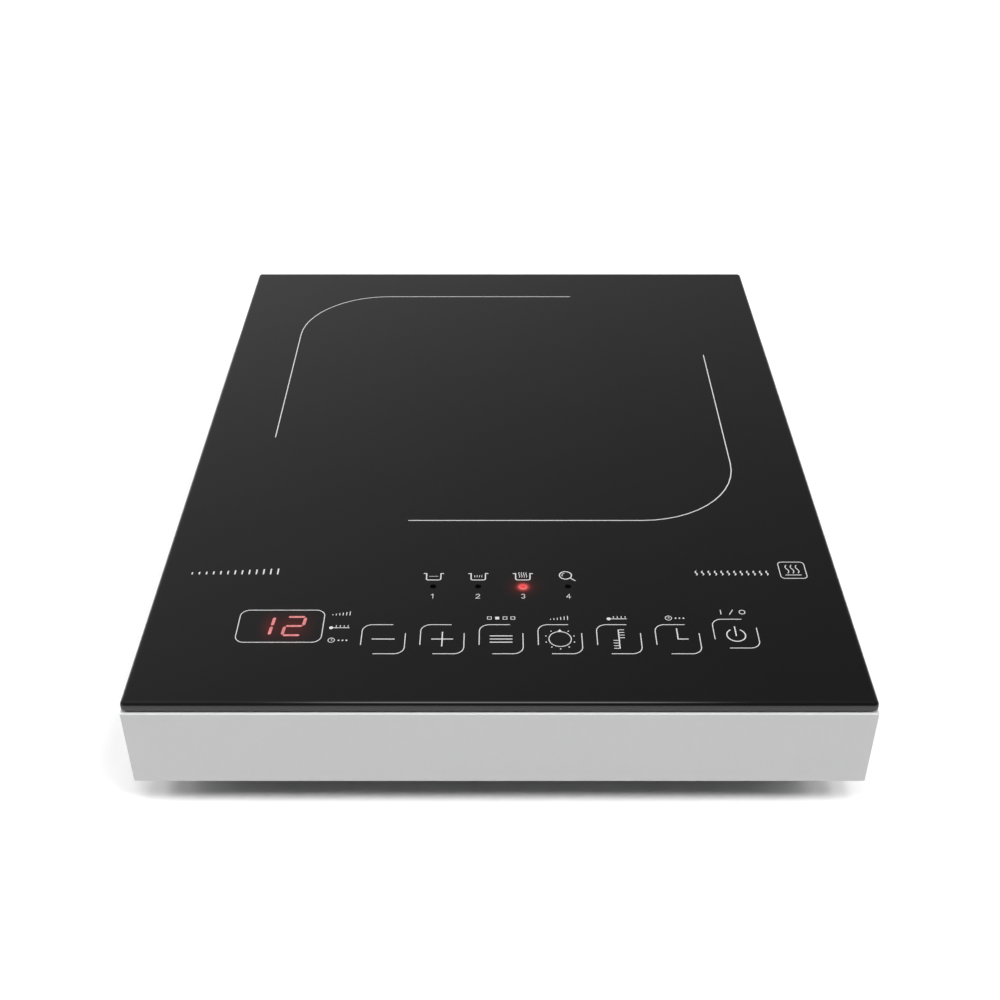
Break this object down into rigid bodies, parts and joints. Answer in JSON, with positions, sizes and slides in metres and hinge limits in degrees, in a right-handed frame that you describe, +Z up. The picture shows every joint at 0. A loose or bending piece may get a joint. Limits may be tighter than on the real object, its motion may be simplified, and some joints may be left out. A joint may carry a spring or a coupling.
{
  "type": "portable induction cooktop",
  "caption": "Portable single-zone induction cooktop: flush black glass-ceramic top with touch keys, satin metal frame, raised base with feet, inner coil, fan and electronics.",
  "frame": {"origin": "on the worktop, under the middle of the appliance", "axes": "+X to the user's right, +Y from the front with the controls to the rear, +Z up through the glass"},
  "size_m": [0.29, 0.37, 0.06],
  "materials": {
    "bearing_brass": "sintered",
    "black_glass": "polished black glass-ceramic",
    "black_plastic": "fine moulded texture",
    "board_green": "solder mask",
    "board_tan": "phenolic board",
    "can_aluminium": "drawn can",
    "capacitor_film": "moulded box",
    "copper": "enamelled copper wire",
    "core_steel": "laminated",
    "die_cast": "die-cast",
    "display_black": "filled display body",
    "duct_plastic": "natural moulding",
    "fan_plastic": "glass-filled moulding",
    "ferrite": "pressed and fired",
    "foot_rubber": "matt",
    "former_plastic": "heat-resistant moulding",
    "fuse_ceramic": "glazed tube",
    "gland_rubber": "matt",
    "heatsink_aluminium": "extruded",
    "lead_red": "insulated wire",
    "lead_white": "woven glass sleeve",
    "led_red": "diffused lens",
    "magnet": "bonded ferrite strip",
    "mica": "pressed mica",
    "package_plastic": "moulded package",
    "pad_foam": "conductive foam",
    "ribbon_grey": "flat cable",
    "screw_steel": "zinc plated",
    "shaft_steel": "ground",
    "silicone": "matt black silicone bead",
    "silver_metal": "satin silver",
    "terminal_brass": "plated",
    "terminal_white": "moulded nylon",
    "transformer_yellow": "taped winding",
    "varistor_blue": "dipped",
    "display_light": "lit red segments and indicator behind the glass",
    "printed_marks": "fired enamel print on the glass"
  },
  "bodies": {
    "housing": {"air_duct": "duct_plastic", "base_pan": "black_plastic", "base_screws": "screw_steel", "bridge_rectifier": "package_plastic", "buzzer": "black_plastic", "choke_core": "ferrite", "choke_winding": "copper", "coil_former": "former_plastic", "coil_leads": "lead_white", "coil_terminals": "terminal_brass", "coil_winding": "copper", "control_board": "board_green", "control_bracket": "black_plastic", "control_chips": "package_plastic", "cord_clamp": "black_plastic", "cord_gland": "gland_rubber", "corner_keys": "die_cast", "display_module": "display_black", "electrolytic_capacitors": "can_aluminium", "fan_bearings": "bearing_brass", "fan_frame": "fan_plastic", "fan_lead": "lead_red", "fan_screws": "screw_steel", "fan_stator_coils": "copper", "fan_stator_core": "core_steel", "ferrite_bars": "ferrite", "filter_capacitor": "capacitor_film", "foot_front_left": "foot_rubber", "foot_front_right": "foot_rubber", "foot_rear_left": "foot_rubber", "foot_rear_right": "foot_rubber", "front_rail": "silver_metal", "glass_seal": "silicone", "glass_top": "black_glass", "heatsink": "heatsink_aluminium", "heatsink_screws": "screw_steel", "igbt": "package_plastic", "indicator_leds": "led_red", "inner_screws": "screw_steel", "left_rail": "silver_metal", "mains_fuse": "fuse_ceramic", "mains_terminals": "terminal_white", "mica_sheet": "mica", "power_board": "board_tan", "rear_rail": "silver_metal", "resonant_capacitor": "capacitor_film", "ribbon_cable": "ribbon_grey", "right_rail": "silver_metal", "sensor_holder": "gland_rubber", "sensor_lead": "lead_white", "standby_transformer": "transformer_yellow", "temperature_sensor": "can_aluminium", "touch_pads": "pad_foam", "varistor": "varistor_blue", "wire_connectors": "terminal_white", "x2_capacitor": "capacitor_film"},
    "rotor": {"fan_rotor": "fan_plastic", "fan_magnet": "magnet", "fan_shaft": "shaft_steel"}
  },
  "joints": [
    {"name": "fan_spin", "type": "hinge", "parent": "housing", "child": "rotor", "pos_m": [0, 0, 0.0175], "axis": [0, 0, 1], "continuous": true}
  ]
}
